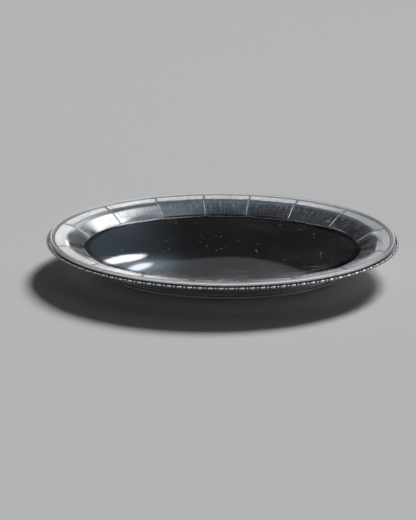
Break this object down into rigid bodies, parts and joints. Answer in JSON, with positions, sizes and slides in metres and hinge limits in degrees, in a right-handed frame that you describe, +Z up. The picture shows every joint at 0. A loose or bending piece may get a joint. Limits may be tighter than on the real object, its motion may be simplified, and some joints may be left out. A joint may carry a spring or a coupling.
{
  "type": "oval serving platter",
  "caption": "Oval silver serving platter with a flat well, a panelled rim, a reeded lip, a bead-and-reel edge wire and a low oval foot.",
  "frame": {"origin": "centre of the platter at the level of the table it stands on", "axes": "+X along the long axis, +Y along the short axis to the rear, +Z up"},
  "size_m": [0.3548, 0.2668, 0.038],
  "materials": {
    "dish": "polished silver plate, lightly scratched by use",
    "rim_moulding": "polished silver plate, bright on the crowns, darker between the reeds",
    "bead_border": "polished silver plate, darkened between the beads",
    "foot_collar": "polished silver plate, slightly dull",
    "foot_wall": "polished silver plate, slightly dull",
    "foot_base_wire": "polished silver plate, rubbed underneath"
  },
  "bodies": {
    "root": {"dish": "dish", "rim_moulding_front": "rim_moulding", "rim_moulding_rear": "rim_moulding", "rim_moulding_left": "rim_moulding", "rim_moulding_right": "rim_moulding", "bead_border_front": "bead_border", "bead_border_rear": "bead_border", "bead_border_left": "bead_border", "bead_border_right": "bead_border", "foot_collar": "foot_collar", "foot_wall": "foot_wall", "foot_base_wire": "foot_base_wire"}
  },
  "joints": []
}
